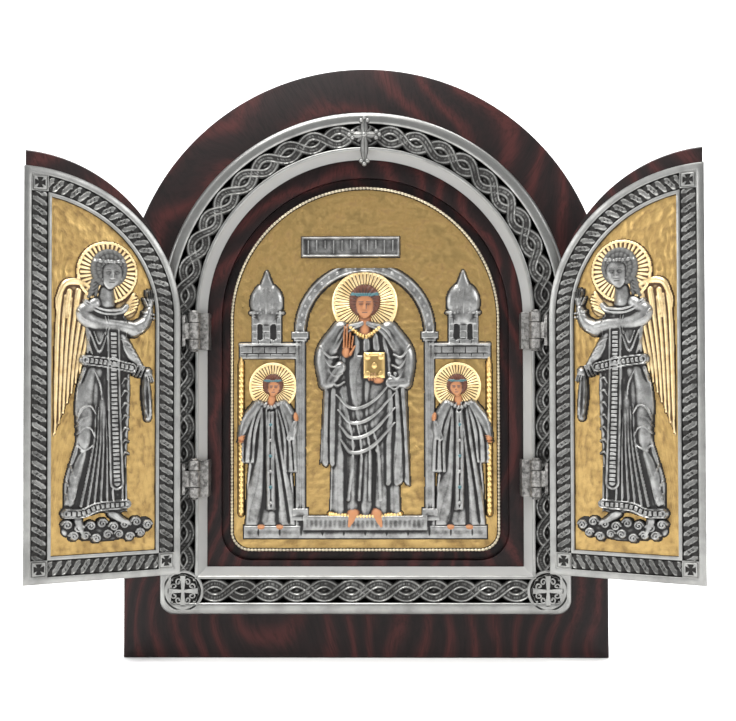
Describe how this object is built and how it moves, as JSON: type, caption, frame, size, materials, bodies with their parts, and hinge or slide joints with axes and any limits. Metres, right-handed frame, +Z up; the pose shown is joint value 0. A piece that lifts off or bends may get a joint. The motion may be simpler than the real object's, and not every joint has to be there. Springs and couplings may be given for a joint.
{
  "type": "triptych altarpiece",
  "caption": "Round-headed wooden table altarpiece with a cast metal frame, a relief icon of a standing saint and hinged wings, each with an angel in relief.",
  "frame": {"origin": "centre of the board's underside, on the surface it stands on", "axes": "+Z up, +X to the viewer's right, -Y towards the viewer"},
  "size_m": [0.2712, 0.0759, 0.25],
  "materials": {
    "wood": "stained, satin",
    "silver": "oxidised in the recesses, rubbed bright on the ridges",
    "gilt": "bright gilt",
    "gold": "matte hammered gilt"
  },
  "bodies": {
    "root": {"board": "wood", "frame": "silver", "crown_cross": "silver", "icon_rim": "silver", "icon_ground": "gold", "icon_relief": "silver", "title_plaque": "silver", "halo_centre": "gilt", "halo_left": "gilt", "halo_right": "gilt", "hinge_clasp_left_lower": "silver", "hinge_pin_left_lower": "silver", "hinge_clasp_left_upper": "silver", "hinge_pin_left_upper": "silver", "hinge_clasp_right_lower": "silver", "hinge_pin_right_lower": "silver", "hinge_clasp_right_upper": "silver", "hinge_pin_right_upper": "silver"},
    "wing_left": {"wing_panel_left": "wood", "wing_border_left": "silver", "wing_ground_left": "gold", "wing_gilding_left": "gilt", "wing_angel_left": "silver", "hinge_leaf_left_lower": "silver", "hinge_leaf_left_upper": "silver"},
    "wing_right": {"wing_panel_right": "wood", "wing_border_right": "silver", "wing_ground_right": "gold", "wing_gilding_right": "gilt", "wing_angel_right": "silver", "hinge_leaf_right_lower": "silver", "hinge_leaf_right_upper": "silver"}
  },
  "joints": [
    {"name": "wing_left_hinge", "type": "hinge", "parent": "root", "child": "wing_left", "pos_m": [-0.0708, -0.0264, 0.107], "axis": [0, 0, 1], "range_deg": [-2, 150.5]},
    {"name": "wing_right_hinge", "type": "hinge", "parent": "root", "child": "wing_right", "pos_m": [0.0708, -0.0264, 0.107], "axis": [0, 0, 1], "range_deg": [-150.5, 2]}
  ]
}
